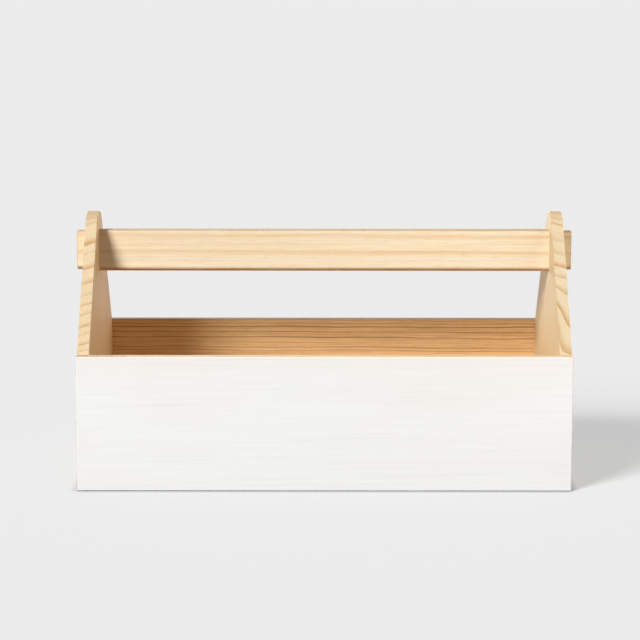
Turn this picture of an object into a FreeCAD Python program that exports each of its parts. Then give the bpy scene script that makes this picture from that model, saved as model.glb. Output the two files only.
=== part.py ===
"""Open wooden carry tote: four thin boards and a let-in bottom, with a flat bar handle.

The front and back boards overlap the edges of two gable-shaped end boards and are held to
them by hidden dowels. A thin bottom board sits in grooves cut in all four walls. The handle
is a flat bar whose tenons run right through both ends and stand proud outside.

Millimetres. +X runs along the handle, +Y from front to back, +Z up. The origin is on the
surface that the tote stands on, under the middle of the box.
"""

import FreeCAD
import Part

import math
import os

# Box
BOX_LENGTH = 400.0          # over the outer faces of the two end boards
BOX_DEPTH = 220.0           # over the outer faces of the front and back boards
WALL_HEIGHT = 110.0         # front and back boards
WALL_THICKNESS = 10.0       # front and back boards
END_THICKNESS = 10.0        # end boards
END_HEIGHT = 217.0          # to the top of the crown
CROWN_RADIUS = 28.0         # round top of an end board
SHOULDER_RADIUS = 6.0       # where an end board's edge turns from upright to sloping
FOOT_RADIUS = 1.6           # bottom corners of an end board
ARRIS_RADIUS = 0.8          # sanded edges of every board

# Bottom board and the grooves that hold it
BOTTOM_THICKNESS = 5.0
BOTTOM_RECESS = 8.0         # underside of the bottom board above the standing surface
GROOVE_DEPTH = 4.0
GROOVE_CLEARANCE = 0.1      # above and below the bottom board, for glue
GROOVE_END_GAP = 0.3        # between the bottom board's edge and the groove's floor

# Handle bar
HANDLE_HEIGHT = 35.0
HANDLE_THICKNESS = 12.0
HANDLE_TOP = 201.5          # top edge of the bar above the standing surface
HANDLE_ROUNDING = 4.0       # lower long edges of the bar and of its tenons, round for the fingers
HANDLE_TOP_ROUNDING = 1.2   # upper long edges, only eased
TENON_TOP_SHOULDER = 1.0    # how much lower than the bar the tenon's top is
TENON_BOTTOM_SHOULDER = 1.2
TENON_PROUD = 9.0           # how far a tenon stands out of the end board
MORTISE_CLEARANCE = 0.1     # all round a tenon, for glue

# Corner dowels
DOWEL_DIAMETER = 5.0
DOWEL_IN_WALL = 6.0         # depth in the front or back board
DOWEL_IN_END = 16.0         # depth in the end board's edge
DOWELS_PER_CORNER = 3
DOWEL_LOWEST = 28.0         # height of the lowest dowel's axis
DOWEL_BELOW_TOP = 20.0      # highest dowel's axis below the wall's top
DOWEL_CHAMFER = 0.6
DOWEL_CLEARANCE = 0.05      # radial, for glue
DOWEL_END_GAP = 0.5         # between a dowel's end and the bottom of its hole
FLUTES = 8
FLUTE_RADIUS = 0.45
FLUTE_DEPTH = 0.25

OVERCUT = 1.0               # how far a cutting tool runs past the wood that it leaves

# Worked out from the sizes above
HALF_LENGTH = BOX_LENGTH / 2
HALF_DEPTH = BOX_DEPTH / 2
END_INNER = HALF_LENGTH - END_THICKNESS
WALL_INNER = HALF_DEPTH - WALL_THICKNESS
GROOVE_BOTTOM = BOTTOM_RECESS - GROOVE_CLEARANCE
GROOVE_HEIGHT = BOTTOM_THICKNESS + 2 * GROOVE_CLEARANCE
TENON_TOP = HANDLE_TOP - TENON_TOP_SHOULDER
TENON_HEIGHT = HANDLE_HEIGHT - TENON_TOP_SHOULDER - TENON_BOTTOM_SHOULDER


def vector(x, y, z):
    """A point or direction."""
    return FreeCAD.Vector(x, y, z)


def block(low, high):
    """A plain block between two opposite corners."""
    size = high - low
    return Part.makeBox(size.x, size.y, size.z, low)


def rounded_outline(corners, radii, at_x):
    """A closed wire in the plane x = at_x through (y, z) corners, each rounded by its radius."""
    points = [vector(at_x, y, z) for y, z in corners]
    arcs = []
    for i, (corner, radius) in enumerate(zip(points, radii)):
        before = (points[i - 1] - corner).normalize()
        after = (points[(i + 1) % len(points)] - corner).normalize()
        half_angle = before.getAngle(after) / 2
        reach = radius / math.tan(half_angle)
        inwards = (before + after).normalize()
        middle = corner + inwards * (radius / math.sin(half_angle) - radius)
        arcs.append((corner + before * reach, middle, corner + after * reach))
    edges = []
    for i, (start, middle, end) in enumerate(arcs):
        edges.append(Part.Arc(start, middle, end).toShape())
        edges.append(Part.LineSegment(end, arcs[(i + 1) % len(arcs)][0]).toShape())
    return Part.Wire(edges)


def extrude_along_x(wire, length):
    """The solid that a wire in an x = constant plane sweeps out along +X."""
    return Part.Face(wire).extrude(vector(length, 0, 0))


def round_face_outlines(solid, x_planes, radius):
    """Rounds every edge of an extruded solid that lies in one of the given x planes."""
    edges = [
        edge
        for edge in solid.Edges
        if any(
            abs(edge.BoundBox.XMin - x) < 1e-6 and abs(edge.BoundBox.XMax - x) < 1e-6
            for x in x_planes
        )
    ]
    return solid.makeFillet(radius, edges)


def dowel_heights():
    """Heights of one corner's dowel axes, evenly spaced."""
    span = WALL_HEIGHT - DOWEL_BELOW_TOP - DOWEL_LOWEST
    return [DOWEL_LOWEST + span * i / (DOWELS_PER_CORNER - 1) for i in range(DOWELS_PER_CORNER)]


def dowel_hole(side, face, height):
    """The hole drilled through both boards of a corner: side -1 left, +1 right; face -1 front, +1 back."""
    wall_end = WALL_INNER + DOWEL_IN_WALL + DOWEL_END_GAP
    length = DOWEL_IN_WALL + DOWEL_IN_END + 2 * DOWEL_END_GAP
    start = vector(side * (HALF_LENGTH - END_THICKNESS / 2), face * wall_end, height)
    radius = DOWEL_DIAMETER / 2 + DOWEL_CLEARANCE
    return Part.makeCylinder(radius, length, start, vector(0, -face, 0))


def drill(board, sides, faces):
    """Cuts the dowel holes of the given corners out of a board."""
    holes = [dowel_hole(s, f, z) for s in sides for f in faces for z in dowel_heights()]
    return board.cut(Part.makeCompound(holes))


def bottom_groove():
    """The space that all four grooves together make round the bottom board."""
    reach = vector(END_INNER + GROOVE_DEPTH, WALL_INNER + GROOVE_DEPTH, 0)
    return block(
        vector(-reach.x, -reach.y, GROOVE_BOTTOM),
        vector(reach.x, reach.y, GROOVE_BOTTOM + GROOVE_HEIGHT),
    )


def wall_board(face):
    """The front (face -1) or back (face +1) board: grooved for the bottom and drilled at both ends."""
    inner, outer = sorted((face * WALL_INNER, face * HALF_DEPTH))
    board = block(vector(-HALF_LENGTH, inner, 0), vector(HALF_LENGTH, outer, WALL_HEIGHT))
    board = board.makeFillet(ARRIS_RADIUS, board.Edges)
    return drill(board.cut(bottom_groove()), (-1, 1), (face,))


def gable_peak():
    """Height at which an end board's two sloping edges would meet, were they not rounded by the crown."""
    rise = END_HEIGHT - CROWN_RADIUS - WALL_HEIGHT
    to_centre = math.hypot(WALL_INNER, rise)
    slope = math.atan2(rise, WALL_INNER) + math.asin(CROWN_RADIUS / to_centre)
    return WALL_HEIGHT + WALL_INNER * math.tan(slope)


def handle_radii(clearance):
    """Corner radii of the bar's or a tenon's cross-section: the two lower ones, then the two upper."""
    return [HANDLE_ROUNDING + clearance] * 2 + [HANDLE_TOP_ROUNDING + clearance] * 2


def tenon_outline(at_x, clearance):
    """The tenon's rounded cross-section, grown all round by a clearance."""
    half_width = HANDLE_THICKNESS / 2 + clearance
    low = TENON_TOP - TENON_HEIGHT - clearance
    high = TENON_TOP + clearance
    corners = [(-half_width, low), (half_width, low), (half_width, high), (-half_width, high)]
    return rounded_outline(corners, handle_radii(clearance), at_x)


def end_board(side):
    """The left (side -1) or right (side +1) end: a crowned gable with the handle's mortise through it."""
    inner, outer = sorted((side * END_INNER, side * HALF_LENGTH))
    corners = [
        (-WALL_INNER, 0),
        (WALL_INNER, 0),
        (WALL_INNER, WALL_HEIGHT),
        (0, gable_peak()),
        (-WALL_INNER, WALL_HEIGHT),
    ]
    radii = [FOOT_RADIUS, FOOT_RADIUS, SHOULDER_RADIUS, CROWN_RADIUS, SHOULDER_RADIUS]
    board = extrude_along_x(rounded_outline(corners, radii, inner), END_THICKNESS)
    board = round_face_outlines(board, (inner, outer), ARRIS_RADIUS)
    mortise_length = END_THICKNESS + 2 * OVERCUT
    mortise = extrude_along_x(tenon_outline(inner - OVERCUT, MORTISE_CLEARANCE), mortise_length)
    return drill(board.cut(mortise).cut(bottom_groove()), (side,), (-1, 1))


def bottom_board():
    """The thin board that lies in the grooves of all four walls."""
    half_x = END_INNER + GROOVE_DEPTH - GROOVE_END_GAP
    half_y = WALL_INNER + GROOVE_DEPTH - GROOVE_END_GAP
    return block(
        vector(-half_x, -half_y, BOTTOM_RECESS),
        vector(half_x, half_y, BOTTOM_RECESS + BOTTOM_THICKNESS),
    )


def handle_bar():
    """The bar between the ends, with a shouldered tenon right through each of them."""
    half_width = HANDLE_THICKNESS / 2
    low = HANDLE_TOP - HANDLE_HEIGHT
    corners = [(-half_width, low), (half_width, low), (half_width, HANDLE_TOP), (-half_width, HANDLE_TOP)]
    bar = extrude_along_x(rounded_outline(corners, handle_radii(0), -END_INNER), 2 * END_INNER)
    tip = HALF_LENGTH + TENON_PROUD
    tenons = extrude_along_x(tenon_outline(-tip, 0), 2 * tip)
    tenons = round_face_outlines(tenons, (-tip, tip), ARRIS_RADIUS)
    return bar.fuse(tenons).removeSplitter()


def fluted_dowel():
    """One dowel on the Y axis: its first DOWEL_IN_WALL millimetres go towards +Y, the rest towards -Y."""
    length = DOWEL_IN_WALL + DOWEL_IN_END
    radius = DOWEL_DIAMETER / 2
    along = vector(0, -1, 0)
    start = vector(0, DOWEL_IN_WALL, 0)
    dowel = Part.makeCylinder(radius, length, start, along)
    rims = [edge for edge in dowel.Edges if edge.BoundBox.YLength < 1e-6]
    dowel = dowel.makeChamfer(DOWEL_CHAMFER, rims)
    flutes = []
    for i in range(FLUTES):
        turn = 2 * math.pi * i / FLUTES
        off_axis = radius + FLUTE_RADIUS - FLUTE_DEPTH
        centre = start + vector(off_axis * math.cos(turn), OVERCUT, off_axis * math.sin(turn))
        flutes.append(Part.makeCylinder(FLUTE_RADIUS, length + 2 * OVERCUT, centre, along))
    return dowel.cut(Part.makeCompound(flutes))


def corner_dowels(side, face):
    """One corner's dowels, as separate solids, across the joint between a wall and an end board."""
    pattern = fluted_dowel()
    dowels = []
    for height in dowel_heights():
        dowel = pattern.copy()
        if face < 0:
            dowel.rotate(vector(0, 0, 0), vector(0, 0, 1), 180)
        dowel.translate(vector(side * (HALF_LENGTH - END_THICKNESS / 2), face * WALL_INNER, height))
        dowels.append(dowel)
    return Part.makeCompound(dowels)


def tote():
    """Every sub-part by its name."""
    parts = {
        "front_panel": wall_board(-1),
        "back_panel": wall_board(1),
        "left_end_panel": end_board(-1),
        "right_end_panel": end_board(1),
        "bottom_panel": bottom_board(),
        "handle_bar": handle_bar(),
    }
    for side, side_name in ((-1, "left"), (1, "right")):
        for face, face_name in ((-1, "front"), (1, "back")):
            parts[f"{face_name}_{side_name}_dowels"] = corner_dowels(side, face)
    return parts


def main():
    """Writes one STEP file for each sub-part."""
    os.makedirs("parts", exist_ok=True)
    for name, shape in tote().items():
        shape.exportStep(f"parts/{name}.step")
        print(name, len(shape.Solids), "solid(s)", round(shape.Volume), "mm3", shape.isValid())


main()
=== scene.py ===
"""Looks for an open wooden carry tote: whitewashed sides, gabled ends and a flat bar handle.

The CAD nodes already have the true shape of every board, so each keeps its own mesh and gets a
material that is cut from a solid pattern of growth rings. One board's face, edge and end grain
then agree where they meet, as they do on real timber.
"""

from __future__ import annotations

import logging
import math
import random
from dataclasses import dataclass, field, replace
from enum import Enum

import bpy
from mathutils import Matrix, Vector


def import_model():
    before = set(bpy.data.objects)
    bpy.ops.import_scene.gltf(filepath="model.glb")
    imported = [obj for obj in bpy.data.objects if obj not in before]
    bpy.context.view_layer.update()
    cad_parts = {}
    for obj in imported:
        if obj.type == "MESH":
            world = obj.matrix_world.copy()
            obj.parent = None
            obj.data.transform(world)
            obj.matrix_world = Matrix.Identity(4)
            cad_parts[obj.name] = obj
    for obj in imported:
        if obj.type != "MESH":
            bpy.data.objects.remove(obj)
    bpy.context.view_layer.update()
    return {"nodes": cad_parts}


LOG = logging.getLogger("tote")
MM = 0.001
PER_MM = 1000.0

# Sockets of the Mix node when it mixes colours, by place because their names repeat
MIX_FACTOR, MIX_A, MIX_B, MIX_RESULT = 0, 6, 7, 2
COLOUR_MIX = {"output": MIX_RESULT, "data_type": "RGBA"}

# Noise is about 0.5 on average. A board's seed moves it by so many patches, so that no two boards agree.
NOISE_MIDDLE = (0.5, 0.5, 0.5)
SEED_SHIFT = (7.3, 3.1, 1.9)

# A bend in the grain is so many times longer than it is wide
MEANDER_SHAPE = 4.0

UP = (0.0, 0.0, 1.0)
ACROSS_THE_GRAIN = (0.0, 1.0, 1.0)

# Each of these pairs is the two levels between which an effect rises or falls. In the first four it
# is how squarely a surface faces out of its board's thickness, or in END along its grain.
OFF_EDGE = (0.05, 0.35)
OFF_FACE = (0.9, 0.996)
BROAD = (0.5, 1.0)
END = (0.35, 1.0)
# In these it is how high a noise stands
RUBBED = (0.3, 0.7)
FADING = (0.35, 0.65)
DRIFTING = (0.35, 0.7)
STREAKED = (0.45, 0.75)
FIBROUS = (0.4, 0.8)
CANAL = (0.76, 0.82)
CLOUDED = (0.45, 0.75)
BRUSHED = (0.45, 0.8)
# And here it rises evenly from nothing
WHOLE = (0.0, 1.0)

# How much an arris is rubbed at least
LEAST_RUB = 0.4

# The middle of the tote, where the cards aim
AIM = (0.0, 0.0, 0.1)
FILL_TONE = "#FFF8EC"

Socket = bpy.types.NodeSocket
Colour = tuple[float, float, float, float]
Triple = tuple[float, float, float]


def linear(hex_colour: str) -> Colour:
    """Turns an sRGB colour into the linear one that shaders use.

    Args:
        hex_colour: The colour as #RRGGBB.

    Returns:
        Linear red, green and blue, and an alpha of 1.
    """
    channels = [int(hex_colour[i : i + 2], 16) / 255 for i in (1, 3, 5)]
    red, green, blue = [c / 12.92 if c <= 0.04045 else ((c + 0.055) / 1.055) ** 2.4 for c in channels]
    return red, green, blue, 1.0


def add_node(
    tree: bpy.types.NodeTree,
    kind: str,
    inputs: dict[int | str, object] | None = None,
    output: int | str = 0,
    **settings: object,
) -> Socket | None:
    """Adds one node to a tree, sets it up and links it.

    Args:
        tree: The node tree of a material or of the world.
        kind: Blender's name for the node.
        inputs: For each input, by name or place, a socket to link or a value to set.
        output: Which output to hand back, by name or place.
        settings: The node's own properties.

    Returns:
        The chosen output socket, or None where the node has none.
    """
    node = tree.nodes.new(kind)
    for name, value in settings.items():
        setattr(node, name, value)
    for key, value in (inputs or {}).items():
        if isinstance(value, Socket):
            tree.links.new(value, node.inputs[key])
        else:
            node.inputs[key].default_value = value
    return node.outputs[output] if len(node.outputs) else None


def new_material(name: str) -> bpy.types.Material:
    """Makes a material with an empty node tree.

    Args:
        name: What the real material is and how its surface was made.

    Returns:
        The material.
    """
    material = bpy.data.materials.new(name)
    material.use_nodes = True
    material.node_tree.nodes.clear()
    return material


@dataclass(frozen=True)
class Layer:
    """A colour laid over those before it, up to a share, as its driver rises between two levels."""

    driver: Socket
    levels: tuple[float, float]
    share: float
    colour: str


def lay(tree: bpy.types.NodeTree, ground: str, layers: tuple[Layer, ...]) -> Socket:
    """Lays colours over one another.

    Args:
        tree: The material's nodes.
        ground: The colour under all the layers.
        layers: The layers, from the lowest upwards.

    Returns:
        The colour that shows.
    """
    colour = linear(ground)
    for layer in layers:
        first, full = layer.levels
        amount = add_node(
            tree,
            "ShaderNodeMapRange",
            {"Value": layer.driver, "From Min": first, "From Max": full, "To Max": layer.share},
        )
        inputs = {MIX_FACTOR: amount, MIX_A: colour, MIX_B: linear(layer.colour)}
        colour = add_node(tree, "ShaderNodeMix", inputs, **COLOUR_MIX)
    return colour


class Grain(Enum):
    """The way a board's grain runs: the axis along it, then its thickness and its width."""

    LENGTHWISE = ("X", "Y", "Z")
    UPRIGHT = ("Z", "X", "Y")
    FLAT = ("X", "Z", "Y")

    def axis(self, place: int) -> Triple:
        """The unit vector along the grain (0), through the thickness (1) or across the width (2)."""
        return tuple(1.0 if self.value[place] == letter else 0.0 for letter in "XYZ")


@dataclass(frozen=True)
class Swirl:
    """Where the grain flows round a branch, in millimetres along the grain, of thickness and of width."""

    centre: Triple
    size: Triple                     # how far it reaches each way
    push: float                      # how much further from the pith the wood seems at the centre


@dataclass(frozen=True)
class Cut:
    """Where in its log a board was sawn, in millimetres of thickness and width in the board's place.

    Each known ring is an outer radius and a boldness from 0 to 1. Uneven ones are added on either
    side of them until they fill the reach.
    """

    grain: Grain
    pith: tuple[float, float]
    ring: float                      # a usual ring's width
    rings: tuple[tuple[float, float], ...]
    reach: tuple[float, float]       # the nearest and the farthest wood from the pith
    late_share: float = 0.5          # how much of a year's ring is late wood
    ring_stop: float = 0.35          # over what distance the late wood ends
    lean: tuple[float, float] = (0.0, 0.0)           # how far the log leans in each millimetre along it
    meander: float = 1.5             # how far its rings bend to and fro
    meander_length: float = 170.0
    swirls: tuple[Swirl, ...] = ()
    seed: int = 0
    uneven_growth: tuple[float, float] = (0.65, 1.35)
    uneven_boldness: tuple[float, float] = (0.35, 1.0)

    def next_width(self, draw: random.Random) -> float:
        """Draws the width of one more ring."""
        return self.ring * draw.uniform(*self.uneven_growth)

    def every_ring(self) -> list[tuple[float, float]]:
        """Adds uneven rings on either side of the known ones, over the whole board.

        Returns:
            Each ring's outer radius and its boldness, from the pith outwards.
        """
        draw = random.Random(self.seed)
        every = list(self.rings)
        while every[0][0] > self.reach[0]:
            every.insert(0, (every[0][0] - self.next_width(draw), draw.uniform(*self.uneven_boldness)))
        while every[-1][0] < self.reach[1]:
            every.append((every[-1][0] + self.next_width(draw), draw.uniform(*self.uneven_boldness)))
        return every


@dataclass(frozen=True)
class Look:
    """How strongly a board shows its figure and in which colours."""

    early: str
    late: str
    drift: str
    boldness: float = 0.5            # of the rings
    streaks: float = 0.12            # of the fibres and of runs of darker ones
    drift_share: float = 0.35        # of slow changes from pale to warm
    dashes: float = 0.25             # of the resin canals


@dataclass(frozen=True)
class Bare:
    """Bare wood. Each part runs from 0 to 1, but the polish goes below 0 on the faces turned upwards, which
    are made rougher.
    """

    colour: Socket
    late: Socket
    fibre: Socket
    polish: Socket


@dataclass(frozen=True)
class Timber:
    """Dressed timber, sanded and finished with a thin clear matt lacquer.

    On pine the eye sees pale cream early wood that darkens slowly to a golden line and stops there
    sharply, once a year, with fine fibres between and a few short golden resin canals. The
    arrises are rubbed smooth and a little darker; on the handle that darker colour also paints
    the shade on the lower rounding. Faces turned upwards get a painted shade and are made rougher.
    """

    name: str
    cut: Cut
    look: Look
    roughness: float = 0.56
    lacquer_ior: float = 1.48
    fibre_mm: tuple[float, float] = (18.0, 0.7)      # about twice as coarse as real fibres, to show
    streak_mm: tuple[float, float] = (140.0, 1.5)    # runs of darker fibres
    drift_mm: tuple[float, float] = (260.0, 34.0)
    canal_mm: tuple[float, float] = (6.0, 0.7)       # real canals are 0.3 mm across, wider to show
    canal: str = "#C48A48"
    fade_mm: tuple[float, float] = (70.0, 6.0)
    fade_share: float = 0.35         # how much fainter a ring is where it fades along the board
    calm_share: float = 0.0          # how much fainter the rings are on the broad faces
    end_grain: str = "#D2B48A"
    end_share: float = 0.6
    rub_mm: tuple[float, float] = (35.0, 12.0)
    # Colour of the rubbed arrises: wear, and on the handle also a painted shade on the lower rounding
    worn: str = "#C99E66"
    worn_and_shade_share: float = 0.3
    # Painted shade: a darker colour laid on faces turned upwards, its share, and how far up they must face
    painted_top_shade: str = "#CDB48F"
    painted_top_shade_share: float = 0.0
    painted_top_shade_from: float = 0.7         # how far up a face must look to get the painted top shade
    # A tone for the broad faces; on the ends it is partly a painted warm shade of bounced light
    broad: str = "#FFFFFF"
    broad_tone_and_shade_share: float = 0.0
    relief_mm: float = 0.15
    relief_strength: float = 0.35
    late_relief: float = 0.25        # how proud late wood stands after sanding, against the fibres
    fibre_roughness: float = 0.1
    late_sheen: float = 0.08         # how much smoother the dense late wood is
    polish_sheen: float = 0.12       # how much smoother a rubbed arris is
    top_roughening: float = 2.5             # how much rougher the faces under the painted top shade are made, against how much rubbing smooths

    def place(self, tree: bpy.types.NodeTree) -> Socket:
        """Gives the place in millimetres, turned with the grain.

        Args:
            tree: The material's nodes.

        Returns:
            X along the grain, Y through the thickness and Z across the width.
        """
        coordinates = add_node(tree, "ShaderNodeTexCoord", output="Object")
        millimetres = add_node(
            tree, "ShaderNodeVectorMath", {0: coordinates, "Scale": PER_MM}, operation="SCALE"
        )
        parts = add_node(tree, "ShaderNodeSeparateXYZ", {0: millimetres}).node.outputs
        order = {i: parts[axis] for i, axis in enumerate(self.cut.grain.value)}
        return add_node(tree, "ShaderNodeCombineXYZ", order)

    def noise(
        self,
        tree: bpy.types.NodeTree,
        place: Socket,
        size: tuple[float, float],
        detail: float = 2.0,
        output: int | str = 0,
    ) -> Socket:
        """Adds noise that is stretched along the grain and differs from board to board.

        Args:
            tree: The material's nodes.
            place: Millimetres with the grain along X.
            size: The length and width of one patch, in millimetres.
            detail: How many finer layers it has.
            output: 0 for a number, "Color" for three of them.

        Returns:
            The noise, about 0.5 on average.
        """
        along, across = size
        scale = (1 / along, 1 / across, 1 / across)
        shift = tuple(step * self.cut.seed for step in SEED_SHIFT)
        scaled = add_node(
            tree, "ShaderNodeVectorMath", {0: place, 1: scale, 2: shift}, operation="MULTIPLY_ADD"
        )
        return add_node(
            tree, "ShaderNodeTexNoise", {"Vector": scaled, "Scale": 1.0, "Detail": detail}, output=output
        )

    def distance_from_pith(self, tree: bpy.types.NodeTree, place: Socket) -> Socket:
        """Finds how far each point is from the middle of its log.

        Args:
            tree: The material's nodes.
            place: Millimetres with the grain along X.

        Returns:
            The distance in millimetres, made uneven as real growth is.
        """
        cut = self.cut
        bend_size = (cut.meander_length, cut.meander_length / MEANDER_SHAPE)
        wander = self.noise(tree, place, bend_size, output="Color")
        centred = add_node(
            tree, "ShaderNodeVectorMath", {0: wander, 1: NOISE_MIDDLE}, operation="SUBTRACT"
        )
        # doubled, because centred noise reaches half a unit either way
        bend = (0.0, 2 * cut.meander, 2 * cut.meander)
        bent = add_node(
            tree, "ShaderNodeVectorMath", {0: centred, 1: bend, 2: place}, operation="MULTIPLY_ADD"
        )
        along = add_node(tree, "ShaderNodeSeparateXYZ", {0: place}, output="X")
        lean = add_node(
            tree, "ShaderNodeVectorMath", {0: (0.0, *cut.lean), "Scale": along}, operation="SCALE"
        )
        leaning = add_node(tree, "ShaderNodeVectorMath", {0: bent, 1: lean}, operation="ADD")
        from_pith = add_node(
            tree, "ShaderNodeVectorMath", {0: leaning, 1: (0.0, *cut.pith)}, operation="SUBTRACT"
        )
        across = add_node(
            tree, "ShaderNodeVectorMath", {0: from_pith, 1: ACROSS_THE_GRAIN}, operation="MULTIPLY"
        )
        radius = add_node(tree, "ShaderNodeVectorMath", {0: across}, output="Value", operation="LENGTH")
        for swirl in cut.swirls:
            away = add_node(
                tree, "ShaderNodeVectorMath", {0: place, 1: swirl.centre}, operation="SUBTRACT"
            )
            shares = tuple(1 / reach for reach in swirl.size)
            squashed = add_node(tree, "ShaderNodeVectorMath", {0: away, 1: shares}, operation="MULTIPLY")
            outwards = add_node(
                tree, "ShaderNodeVectorMath", {0: squashed}, output="Value", operation="LENGTH"
            )
            swell = add_node(
                tree,
                "ShaderNodeMapRange",
                {"Value": outwards, "To Min": swirl.push, "To Max": 0.0},
                interpolation_type="SMOOTHERSTEP",
            )
            radius = add_node(tree, "ShaderNodeMath", {0: radius, 1: swell}, operation="ADD")
        return radius

    def rings(self, tree: bpy.types.NodeTree, radius: Socket) -> Socket:
        """Draws each year's growth: a slow rise from early to late wood and a sharp end.

        Args:
            tree: The material's nodes.
            radius: The distance from the pith in millimetres.

        Returns:
            0 in early wood, up to 1 in the boldest late wood.
        """
        cut = self.cut
        every = cut.every_ring()
        late = None
        for (before, _), (end, boldness) in zip(every, every[1:]):
            start = end - cut.late_share * (end - before)
            rise = add_node(
                tree,
                "ShaderNodeMapRange",
                {"Value": radius, "From Min": start, "From Max": end, "To Max": math.sqrt(boldness)},
                interpolation_type="SMOOTHSTEP",
            )
            stop = add_node(
                tree,
                "ShaderNodeMapRange",
                {
                    "Value": radius,
                    "From Min": end,
                    "From Max": end + cut.ring_stop,
                    "To Min": 1.0,
                    "To Max": 0.0,
                },
            )
            line = add_node(tree, "ShaderNodeMath", {0: rise, 1: stop}, operation="MULTIPLY")
            if late is None:
                late = line
            else:
                late = add_node(tree, "ShaderNodeMath", {0: late, 1: line}, operation="MAXIMUM")
        return add_node(tree, "ShaderNodeMath", {0: late, 1: late}, operation="MULTIPLY")

    def facing(self, tree: bpy.types.NodeTree, direction: Triple) -> Socket:
        """Finds how squarely the surface faces along a direction.

        Args:
            tree: The material's nodes.
            direction: The direction, one unit long.

        Returns:
            1 where it faces that way, 0 where it lies along it and -1 where it faces the other way.
        """
        normal = add_node(tree, "ShaderNodeNewGeometry", output="Normal")
        return add_node(
            tree,
            "ShaderNodeVectorMath",
            {0: normal, 1: direction},
            output="Value",
            operation="DOT_PRODUCT",
        )

    def turned_to(self, tree: bpy.types.NodeTree, direction: Triple) -> Socket:
        """Gives 1 where the surface faces along a direction or against it, and 0 where it lies along it."""
        return add_node(tree, "ShaderNodeMath", {0: self.facing(tree, direction)}, operation="ABSOLUTE")

    def arris(self, tree: bpy.types.NodeTree, place: Socket, broad: Socket) -> Socket:
        """Finds the rounded arrises, which are rubbed more in some places than in others.

        Args:
            tree: The material's nodes.
            place: Millimetres with the grain along X.
            broad: How squarely the surface faces out of the board's thickness.

        Returns:
            1 where an arris is rubbed most, 0 on flat wood.
        """
        edge_first, edge_full = OFF_EDGE
        off_edge = add_node(
            tree, "ShaderNodeMapRange", {"Value": broad, "From Min": edge_first, "From Max": edge_full}
        )
        face_first, face_full = OFF_FACE
        off_face = add_node(
            tree,
            "ShaderNodeMapRange",
            {
                "Value": broad,
                "From Min": face_first,
                "From Max": face_full,
                "To Min": 1.0,
                "To Max": 0.0,
            },
        )
        both = add_node(tree, "ShaderNodeMath", {0: off_edge, 1: off_face}, operation="MULTIPLY")
        rub_first, rub_full = RUBBED
        rubbed = add_node(
            tree,
            "ShaderNodeMapRange",
            {
                "Value": self.noise(tree, place, self.rub_mm),
                "From Min": rub_first,
                "From Max": rub_full,
                "To Min": LEAST_RUB,
            },
        )
        return add_node(tree, "ShaderNodeMath", {0: both, 1: rubbed}, operation="MULTIPLY")

    def figure(self, tree: bpy.types.NodeTree, place: Socket, broad: Socket) -> Socket:
        """Draws the rings as they show: fading here and there, and calmer on the broad faces.

        Args:
            tree: The material's nodes.
            place: Millimetres with the grain along X.
            broad: How squarely the surface faces out of the board's thickness.

        Returns:
            0 in early wood, up to 1 in the boldest late wood.
        """
        late = self.rings(tree, self.distance_from_pith(tree, place))
        fade_first, fade_full = FADING
        fading = add_node(
            tree,
            "ShaderNodeMapRange",
            {
                "Value": self.noise(tree, place, self.fade_mm, detail=1.0),
                "From Min": fade_first,
                "From Max": fade_full,
                "To Min": 1.0 - self.fade_share,
            },
        )
        clear = add_node(tree, "ShaderNodeMath", {0: late, 1: fading}, operation="MULTIPLY")
        calm = add_node(
            tree,
            "ShaderNodeMapRange",
            {"Value": broad, "From Min": BROAD[0], "To Min": 1.0, "To Max": 1.0 - self.calm_share},
        )
        return add_node(tree, "ShaderNodeMath", {0: clear, 1: calm}, operation="MULTIPLY")

    def bare_wood(self, tree: bpy.types.NodeTree, place: Socket) -> Bare:
        """Draws the bare wood.

        Args:
            tree: The material's nodes.
            place: Millimetres with the grain along X.

        Returns:
            Its colour, late wood, fibres and polish.
        """
        look = self.look
        drift = self.noise(tree, place, self.drift_mm)
        streak = self.noise(tree, place, self.streak_mm, detail=3.0)
        fibre = self.noise(tree, place, self.fibre_mm)
        canal = self.noise(tree, place, self.canal_mm, detail=0.0)
        end = self.turned_to(tree, self.cut.grain.axis(0))
        broad = self.turned_to(tree, self.cut.grain.axis(1))
        late = self.figure(tree, place, broad)
        arris = self.arris(tree, place, broad)
        # Painted shade: faces turned upwards are laid over with a darker colour and made rougher
        painted_top_shade_mask = add_node(
            tree,
            "ShaderNodeMapRange",
            {
                "Value": self.facing(tree, UP),
                "From Min": self.painted_top_shade_from,
                "To Max": self.painted_top_shade_share,
            },
        )
        colour = lay(
            tree,
            look.early,
            (
                Layer(drift, DRIFTING, look.drift_share, look.drift),
                # the broad faces' tone; on the ends it is partly a painted warm shade of bounced light
                Layer(broad, BROAD, self.broad_tone_and_shade_share, self.broad),
                Layer(late, WHOLE, look.boldness, look.late),
                Layer(streak, STREAKED, look.streaks, look.late),
                Layer(fibre, FIBROUS, look.streaks, look.late),
                Layer(canal, CANAL, look.dashes, self.canal),
                Layer(end, END, self.end_share, self.end_grain),
                # the rubbed arrises' colour: wear, and on the handle also a painted shade on the lower
                # rounding
                Layer(arris, WHOLE, self.worn_and_shade_share, self.worn),
                # painted shade on faces turned upwards
                Layer(painted_top_shade_mask, WHOLE, 1.0, self.painted_top_shade),
            ),
        )
        polish = add_node(
            tree, "ShaderNodeMath", {0: painted_top_shade_mask, 1: -self.top_roughening, 2: arris}, operation="MULTIPLY_ADD"
        )
        return Bare(colour, late, fibre, polish)

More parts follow.
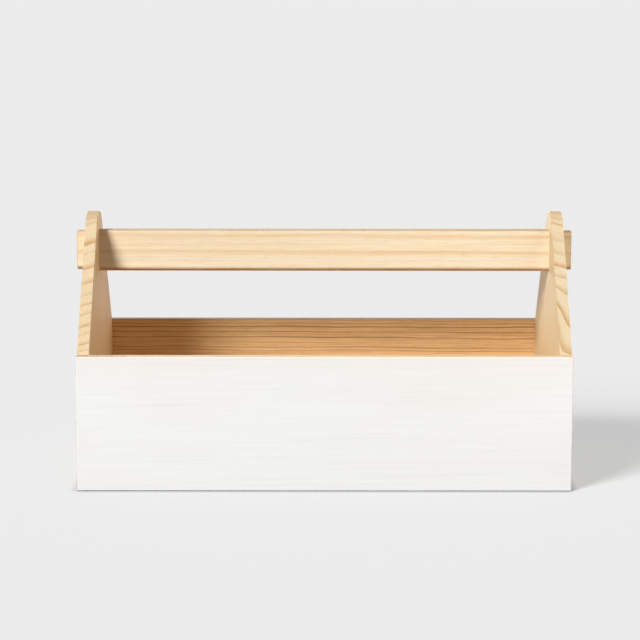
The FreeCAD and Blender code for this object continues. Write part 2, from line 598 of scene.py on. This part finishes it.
    def surface(self, tree: bpy.types.NodeTree, colour: Socket, bare: Bare) -> None:
        """Ends the material with a shader that has the wood's sheen and fine relief.

        Args:
            tree: The material's nodes.
            colour: The colour that shows, with any paint.
            bare: The wood under it.
        """
        relief = add_node(
            tree,
            "ShaderNodeMath",
            {0: bare.late, 1: self.late_relief, 2: bare.fibre},
            operation="MULTIPLY_ADD",
        )
        normal = add_node(
            tree,
            "ShaderNodeBump",
            {"Strength": self.relief_strength, "Distance": self.relief_mm * MM, "Height": relief},
        )
        dry = add_node(
            tree,
            "ShaderNodeMapRange",
            {
                "Value": bare.fibre,
                "To Min": self.roughness - self.fibre_roughness,
                "To Max": self.roughness + self.fibre_roughness,
            },
        )
        dense = add_node(
            tree, "ShaderNodeMath", {0: bare.late, 1: -self.late_sheen, 2: dry}, operation="MULTIPLY_ADD"
        )
        polished = add_node(
            tree,
            "ShaderNodeMath",
            {0: bare.polish, 1: -self.polish_sheen, 2: dense},
            operation="MULTIPLY_ADD",
        )
        shader = add_node(
            tree,
            "ShaderNodeBsdfPrincipled",
            {"Base Color": colour, "Roughness": polished, "IOR": self.lacquer_ior, "Normal": normal},
        )
        add_node(tree, "ShaderNodeOutputMaterial", {"Surface": shader})

    def material(self) -> bpy.types.Material:
        """Makes the Blender material.

        Returns:
            The material, named for the finish.
        """
        material = new_material(self.name)
        tree = material.node_tree
        bare = self.bare_wood(tree, self.place(tree))
        self.surface(tree, bare.colour, bare)
        return material


@dataclass(frozen=True)
class WhitewashedPine(Timber):
    """Pine with brushed, thinned white paint on one broad face and bare wood on the rest.

    The eye sees a warm white board with faint grey lines of late wood along it, and a thread of
    bare wood along the sanded arrises.
    """

    face_mm: float = -110.0          # where the painted face lies along Y
    paint: str = "#F4F4F3"
    thin_paint: str = "#DCD9D4"
    warm_paint: str = "#F3EDE9"
    line_share: float = 0.16
    brush_mm: tuple[float, float] = (90.0, 1.1)
    brush_share: float = 0.16
    cloud_mm: tuple[float, float] = (120.0, 30.0)
    cloud_share: float = 0.5
    warm_from_mm: float = 85.0       # above this height more warm wood shows through the paint
    warm_full_mm: float = 110.0
    warm_share: float = 0.8
    bare_mm: tuple[float, float] = (0.12, 0.5)       # depths at which the paint starts to thin and ends
    ragged_mm: tuple[float, float] = (9.0, 3.0)
    ragged_depth_mm: float = 0.3     # how much that depth varies along an arris

    def painted(self, tree: bpy.types.NodeTree, place: Socket) -> Socket:
        """Finds where the paint is: on the broad face, and worn off its sanded arrises.

        Args:
            tree: The material's nodes.
            place: Millimetres with the grain along X and the thickness along Y.

        Returns:
            1 under full paint, 0 on bare wood.
        """
        thickness = add_node(tree, "ShaderNodeSeparateXYZ", {0: place}, output="Y")
        depth = add_node(tree, "ShaderNodeMath", {0: thickness, 1: self.face_mm}, operation="SUBTRACT")
        behind = add_node(tree, "ShaderNodeMath", {0: depth}, operation="ABSOLUTE")
        ragged = self.noise(tree, place, self.ragged_mm)
        uneven = add_node(
            tree,
            "ShaderNodeMath",
            {0: ragged, 1: self.ragged_depth_mm, 2: behind},
            operation="MULTIPLY_ADD",
        )
        first, last = (depth_mm + self.ragged_depth_mm / 2 for depth_mm in self.bare_mm)
        return add_node(
            tree,
            "ShaderNodeMapRange",
            {"Value": uneven, "From Min": first, "From Max": last, "To Min": 1.0, "To Max": 0.0},
        )

    def coat(self, tree: bpy.types.NodeTree, place: Socket, late: Socket) -> Socket:
        """Draws the paint's colour, thinner over late wood and in its brush marks.

        Args:
            tree: The material's nodes.
            place: Millimetres with the grain along X and the height along Z.
            late: The late wood under the paint.

        Returns:
            The paint's colour.
        """
        height = add_node(tree, "ShaderNodeSeparateXYZ", {0: place}, output="Z")
        cloud = self.noise(tree, place, self.cloud_mm)
        brush = self.noise(tree, place, self.brush_mm)
        warm_levels = (self.warm_from_mm, self.warm_full_mm)
        return lay(
            tree,
            self.paint,
            (
                Layer(cloud, CLOUDED, self.cloud_share, self.warm_paint),
                Layer(height, warm_levels, self.warm_share, self.warm_paint),
                Layer(late, WHOLE, self.line_share, self.thin_paint),
                Layer(brush, BRUSHED, self.brush_share, self.thin_paint),
            ),
        )

    def material(self) -> bpy.types.Material:
        """Makes the Blender material.

        Returns:
            The material, named for the finish.
        """
        material = new_material(self.name)
        tree = material.node_tree
        place = self.place(tree)
        bare = self.bare_wood(tree, place)
        paint = self.coat(tree, place, bare.late)
        inputs = {MIX_FACTOR: self.painted(tree, place), MIX_A: bare.colour, MIX_B: paint}
        colour = add_node(tree, "ShaderNodeMix", inputs, **COLOUR_MIX)
        self.surface(tree, colour, bare)
        return material


@dataclass(frozen=True)
class Card:
    """A soft box or a pale card near the tote. Distances are metres and power is watts."""

    name: str
    place: Triple
    size: tuple[float, float]
    watts: float
    tone: str = "#FFFFFF"

    def build(self, lit: bpy.types.Collection) -> None:
        """Stands the card and aims it at the tote.

        Args:
            lit: What the card lights.
        """
        bpy.ops.object.light_add(type="AREA", location=self.place)
        card = bpy.context.object
        card.name = self.name
        card.data.shape = "RECTANGLE"
        card.data.size, card.data.size_y = self.size
        card.data.energy = self.watts
        card.data.color = linear(self.tone)[:3]
        aim = Vector(AIM) - Vector(self.place)
        card.rotation_euler = aim.to_track_quat("-Z", "Y").to_euler()
        card.light_linking.receiver_collection = lit


@dataclass
class Studio:
    """A pale floor under even light, a soft box at the front left, four pale cards and the camera."""

    floor_name: str = "studio_floor"
    floor_size: float = 400.0
    floor_shift: float = 100.0       # how far behind the tote the floor's middle lies
    floor_gap: float = 0.0002        # keeps the floor and the boards' undersides from lying in one plane
    floor_across: float = 0.85       # how far right the floor's lights travel for each metre back
    floor_drops: Triple = (-0.62, -0.88, -1.15)      # how far down each of them travels
    floor_strength: float = 18.9
    floor_spread: float = math.radians(18.0)
    floor_glow: float = 0.667        # what the floor shows of its colour even in shadow
    floor_white: float = 0.0986      # how much of it takes the floor's own lights and the shadows
    floor_bounce: str = "#353535"    # its colour for the light that it throws on the tote
    contact_shadow_reach: float = 0.008     # how close to a board the painted contact shadow darkens the floor's glow
    contact_shadow_glow: float = 0.06       # what the glow still shows under that painted shadow where they meet
    contact_samples: int = 8
    backdrop: str = "#ECECEC"
    ambient: float = 0.03            # how strongly the backdrop lights the scene
    cards: tuple[Card, ...] = (
        Card("soft_box", (-2.48, -3.45, 2.66), (1.35, 1.8), 303.0),
        Card("reflector", (0.5, -0.36, 0.42), (0.25, 0.25), 0.8, FILL_TONE),
        Card("side_card", (0.9, 0.25, 0.3), (0.5, 0.5), 3.4, FILL_TONE),
        Card("tenon_card", (0.55, -0.1, 0.28), (0.25, 0.25), 0.85, FILL_TONE),
        Card("back_card", (-0.2, 1.4, 0.45), (0.7, 0.7), 10.0, FILL_TONE),
    )
    camera_place: Triple = (-0.00864, -1.8169, 0.39045)
    camera_yaw: float = 0.00282
    camera_pitch: float = 0.14567
    camera_roll: float = 0.00144
    lens_mm: float = 121.237
    sensor_mm: float = 36.0

    def build_floor(self) -> None:
        """Lays a floor whose shadows are softened for the camera, as on a bright sweep of paper, with a
        painted contact shadow in its glow near the boards.
        """
        bpy.ops.object.select_all(action="DESELECT")
        middle = (0.0, self.floor_shift, -self.floor_gap)
        bpy.ops.mesh.primitive_plane_add(size=self.floor_size, location=middle)
        floor = bpy.context.object
        floor.name = self.floor_name
        material = new_material("matt_paper_sweep")
        tree = material.node_tree
        lit = add_node(tree, "ShaderNodeBsdfDiffuse", {"Color": linear(self.floor_bounce)})
        red, green, blue, alpha = linear(self.backdrop)
        share = (red * self.floor_white, green * self.floor_white, blue * self.floor_white, alpha)
        seen = add_node(tree, "ShaderNodeBsdfDiffuse", {"Color": share})
        # Painted contact shadow: the floor's glow darkens where a board stands close
        near = add_node(
            tree,
            "ShaderNodeAmbientOcclusion",
            {"Distance": self.contact_shadow_reach},
            output="AO",
            samples=self.contact_samples,
        )
        level = add_node(
            tree,
            "ShaderNodeMapRange",
            {"Value": near, "To Min": self.contact_shadow_glow, "To Max": self.floor_glow},
        )
        glow = add_node(tree, "ShaderNodeEmission", {"Color": linear(self.backdrop), "Strength": level})
        both = add_node(tree, "ShaderNodeAddShader", {0: seen, 1: glow})
        shader = add_node(tree, "ShaderNodeMixShader", {0: self.seen_directly(tree), 1: lit, 2: both})
        add_node(tree, "ShaderNodeOutputMaterial", {"Surface": shader})
        floor.data.materials.append(material)

    def seen_directly(self, tree: bpy.types.NodeTree) -> Socket:
        """Tells what the camera sees from what only lights other things.

        Args:
            tree: The nodes of the floor's material or of the world.

        Returns:
            1 for rays from the camera, a reflection or a pane, and 0 for light on its way.
        """
        rays = add_node(tree, "ShaderNodeLightPath").node.outputs
        mirrored = add_node(
            tree,
            "ShaderNodeMath",
            {0: rays["Is Glossy Ray"], 1: rays["Is Transmission Ray"]},
            operation="ADD",
        )
        return add_node(
            tree,
            "ShaderNodeMath",
            {0: rays["Is Camera Ray"], 1: mirrored},
            operation="ADD",
            use_clamp=True,
        )

    def build_world(self) -> None:
        """Surrounds the scene with faint even light and a pale backdrop."""
        world = bpy.data.worlds.new("studio")
        bpy.context.scene.world = world
        world.use_nodes = True
        tree = world.node_tree
        tree.nodes.clear()
        level = add_node(
            tree,
            "ShaderNodeMapRange",
            {"Value": self.seen_directly(tree), "To Min": self.ambient, "To Max": 1.0},
        )
        light = add_node(
            tree, "ShaderNodeBackground", {"Color": linear(self.backdrop), "Strength": level}
        )
        add_node(tree, "ShaderNodeOutputWorld", {"Surface": light})

    def build_lights(self) -> None:
        """Sets three broad suns that light the floor alone, and the cards that light the tote alone."""
        floor = bpy.data.collections.new("floor_alone")
        tote = bpy.data.collections.new("tote_alone")
        for piece in [piece for piece in bpy.context.scene.objects if piece.type == "MESH"]:
            (floor if piece.name == self.floor_name else tote).objects.link(piece)
        for number, drop in enumerate(self.floor_drops):
            bpy.ops.object.light_add(type="SUN")
            lamp = bpy.context.object
            lamp.name = f"floor_light_{number}"
            lamp.data.energy = self.floor_strength / len(self.floor_drops)
            lamp.data.angle = self.floor_spread
            travel = Vector((self.floor_across, 1.0, drop))
            lamp.rotation_euler = travel.to_track_quat("-Z", "Y").to_euler()
            lamp.light_linking.receiver_collection = floor
        for card in self.cards:
            card.build(tote)

    def build_camera(self) -> None:
        """Stands the camera a little above the tote and nearly square to its front."""
        bpy.ops.object.camera_add(location=self.camera_place)
        camera = bpy.context.object
        turn = Matrix.Rotation(-self.camera_yaw, 3, "Z")
        tilt = Matrix.Rotation(math.pi / 2 - self.camera_pitch, 3, "X")
        roll = Matrix.Rotation(self.camera_roll, 3, "Z")
        camera.rotation_euler = (turn @ tilt @ roll).to_euler()
        camera.data.lens = self.lens_mm
        camera.data.sensor_width = self.sensor_mm
        bpy.context.scene.camera = camera

    def build(self) -> None:
        """Builds the whole studio."""
        bpy.context.scene.view_settings.view_transform = "Standard"
        self.build_floor()
        self.build_world()
        self.build_lights()
        self.build_camera()
        LOG.info("studio: floor, world, floor lights, soft box, cards and camera")


# How each board's wood looks: its early and late wood, and the warmer tone that it drifts to
PALE = Look(early="#ECDEC2", late="#D0964A", drift="#EDD4A8", boldness=0.5, streaks=0.24, dashes=0.3)
PLANED = Look(early="#D8BC94", late="#B8783A", drift="#D2AE80", boldness=0.4)
SANDED = Look(early="#E0CEAE", late="#B47C2A", drift="#D0B98F", boldness=1.0, streaks=0.22, dashes=0.3)
SANDED_DULL = replace(SANDED, early="#CEC4A9", late="#A06C1E", drift="#C4B38E")
AMBER = Look(early="#F1C991", late="#8A4A20", drift="#E2AE72", boldness=0.95, streaks=0.26, dashes=0.4)

# Brushed with thin white paint over planed pine: a warm white board with faint lines along it
FRONT = WhitewashedPine(
    name="whitewashed_pine_front",
    cut=Cut(
        Grain.LENGTHWISE,
        pith=(-40.0, -230.0),
        ring=5.5,
        rings=((300.0, 0.7), (305.5, 0.5)),
        reach=(225.0, 350.0),
        late_share=0.35,
        lean=(0.0, -0.03),
        meander=5.0,
        swirls=(Swirl(centre=(-182.0, -110.0, 98.0), size=(26.0, 9.0, 9.0), push=5.0),),
        seed=3,
    ),
    look=PLANED,
    # painted shade on the top edge, which faces upwards
    painted_top_shade_share=0.4,
    painted_top_shade_from=0.3,
    face_mm=-110.0,
)

# The same paint on an ambered board: bold brown rings run level along its bare inner face
BACK = WhitewashedPine(
    name="whitewashed_pine_back",
    cut=Cut(
        Grain.LENGTHWISE,
        pith=(70.0, -180.0),
        ring=6.2,
        rings=(
            (263.7, 0.5),
            (266.3, 0.9),
            (270.9, 0.25),
            (275.3, 1.0),
            (277.8, 0.3),
            (280.2, 1.0),
            (284.8, 0.9),
            (287.6, 0.6),
            (290.5, 0.5),
        ),
        reach=(175.0, 296.0),
        late_share=0.42,
        lean=(0.0, 0.003),
        meander=2.6,
        meander_length=120.0,
        seed=7,
    ),
    look=AMBER,
    # painted shade on the top edge, which faces upwards
    painted_top_shade="#A1856A",
    painted_top_shade_share=0.8,
    painted_top_shade_from=0.3,
    face_mm=110.0,
)

# Sanded pine with its rings across the edge: gold bands step down the slope, upright lines inside
LEFT_END = Timber(
    name="sanded_pine_left_end",
    cut=Cut(
        Grain.UPRIGHT,
        pith=(-240.0, 150.0),
        ring=8.5,
        rings=(
            (172.1, 0.5),
            (176.5, 0.5),
            (188.6, 1.0),
            (194.2, 0.35),
            (203.3, 0.9),
            (212.4, 0.7),
            (219.7, 0.35),
            (225.3, 0.8),
            (230.9, 0.6),
            (237.9, 0.8),
            (242.4, 0.4),
            (248.2, 0.8),
            (252.0, 0.5),
        ),
        reach=(52.0, 262.0),
        late_share=0.55,
        meander=1.6,
        seed=11,
    ),
    look=SANDED,
    # broad tone: face colour and a painted warm shade on the shaded inner face
    broad="#D9B182",
    broad_tone_and_shade_share=0.7,
    calm_share=0.6,
    # painted shade on the crown, which faces upwards
    painted_top_shade_share=0.45,
)

# Sanded pine sawn beside a branch: fewer, wider bands that sweep down steeply near the foot of the slope
RIGHT_END = Timber(
    name="sanded_pine_right_end",
    cut=Cut(
        Grain.UPRIGHT,
        pith=(240.0, 150.0),
        ring=8.0,
        rings=(
            (172.0, 0.5),
            (176.6, 0.9),
            (186.5, 0.4),
            (194.4, 0.6),
            (202.1, 1.0),
            (208.7, 0.7),
            (218.1, 0.8),
            (237.3, 1.0),
            (252.5, 0.8),
        ),
        reach=(52.0, 262.0),
        late_share=0.65,
        meander=0.8,
        swirls=(Swirl(centre=(138.0, 184.0, -78.0), size=(50.0, 18.0, 45.0), push=18.0),),
        seed=17,
    ),
    look=SANDED_DULL,
    # broad tone: face colour and painted warm bounced light on the inner face
    broad="#E8CFA1",
    broad_tone_and_shade_share=0.8,
    calm_share=0.6,
    # painted shade on the crown, which faces upwards
    painted_top_shade_share=0.45,
)

# Sanded pine with wide rings: a pale bar with a few soft gold lines, brown arrises that are wear and a
# painted shade on the lower rounding, and a painted shade on the top
HANDLE = Timber(
    name="sanded_pine_handle",
    cut=Cut(
        Grain.LENGTHWISE,
        pith=(20.0, 60.0),
        ring=14.0,
        rings=((111.5, 0.4), (126.2, 0.8), (139.6, 0.7), (143.5, 0.3)),
        reach=(100.0, 150.0),
        late_share=0.4,
        ring_stop=2.6,
        lean=(0.0, 0.003),
        meander=1.5,
        seed=23,
    ),
    look=PALE,
    # painted shade on the top of the bar, which faces upwards
    painted_top_shade="#B9A484",
    painted_top_shade_share=0.8,
    painted_top_shade_from=0.3,
    # brown arrises: wear, and a painted shade on the lower rounding
    worn="#C27F2C",
    worn_and_shade_share=0.75,
)

# Thin plywood with a pine face that leans through the rings: pale, with a broad wavy figure
BOTTOM = Timber(
    name="pine_plywood_bottom",
    cut=Cut(
        Grain.FLAT,
        pith=(-38.0, 20.0),
        ring=5.0,
        rings=((60.0, 0.6), (65.0, 0.8)),
        reach=(40.0, 135.0),
        lean=(0.03, 0.02),
        meander=3.0,
        seed=31,
    ),
    look=PALE,
    end_grain="#D8BB92",
)

# Turned beech: close brown grain with short darker flecks
DOWELS = Timber(
    name="turned_beech_dowels",
    cut=Cut(
        Grain.LENGTHWISE,
        pith=(40.0, 400.0),
        ring=1.6,
        rings=((400.0, 0.5), (401.6, 0.6)),
        reach=(396.0, 406.0),
        seed=41,
    ),
    look=Look(early="#DDB48A", late="#B98455", drift="#D3A67B", boldness=0.4, dashes=0.5),
)


class Face(Enum):
    """Which long side of the tote."""

    FRONT = "front"
    BACK = "back"


class Side(Enum):
    """Which end of the tote."""

    LEFT = "left"
    RIGHT = "right"


def dress(nodes: dict[str, bpy.types.Object], node: str, finish: Timber) -> None:
    """Gives one board its finish and reports it.

    Args:
        nodes: The CAD nodes by name.
        node: The board's node.
        finish: What it is made of and how it was cut.
    """
    material = finish.material()
    for slot in nodes[node].material_slots:
        slot.material = material
    LOG.info("%s: %s", node, finish.name)


@dataclass
class Box:
    """The painted front and back boards and the thin board let into them."""

    walls: dict[Face, WhitewashedPine] = field(default_factory=lambda: {Face.FRONT: FRONT, Face.BACK: BACK})
    bottom: Timber = BOTTOM

    def dress(self, nodes: dict[str, bpy.types.Object]) -> None:
        """Dresses the walls, each painted on its outer face, and the bottom.

        Args:
            nodes: The CAD nodes by name.
        """
        for face, finish in self.walls.items():
            dress(nodes, f"{face.value}_panel", finish)
        dress(nodes, "bottom_panel", self.bottom)


@dataclass
class Ends:
    """The two gabled end boards."""

    boards: dict[Side, Timber] = field(default_factory=lambda: {Side.LEFT: LEFT_END, Side.RIGHT: RIGHT_END})

    def dress(self, nodes: dict[str, bpy.types.Object]) -> None:
        """Dresses both ends, which are bare wood all round."""
        for side, finish in self.boards.items():
            dress(nodes, f"{side.value}_end_panel", finish)


@dataclass
class Handle:
    """The bar that is held by its tenons in both ends."""

    bar: Timber = HANDLE

    def dress(self, nodes: dict[str, bpy.types.Object]) -> None:
        """Dresses the bar."""
        dress(nodes, "handle_bar", self.bar)


@dataclass
class Fastenings:
    """The dowels across the four corners, hidden in their holes."""

    dowels: Timber = DOWELS

    def dress(self, nodes: dict[str, bpy.types.Object]) -> None:
        """Dresses every corner's dowels.

        Args:
            nodes: The CAD nodes by name.
        """
        for face in Face:
            for side in Side:
                dress(nodes, f"{face.value}_{side.value}_dowels", self.dowels)


def main() -> None:
    """Loads the frame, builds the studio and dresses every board."""
    logging.basicConfig(level=logging.INFO, format="%(name)s: %(message)s")
    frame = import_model()
    Studio().build()
    for assembly in (Box(), Ends(), Handle(), Fastenings()):
        assembly.dress(frame["nodes"])


if __name__ == "__main__":
    main()
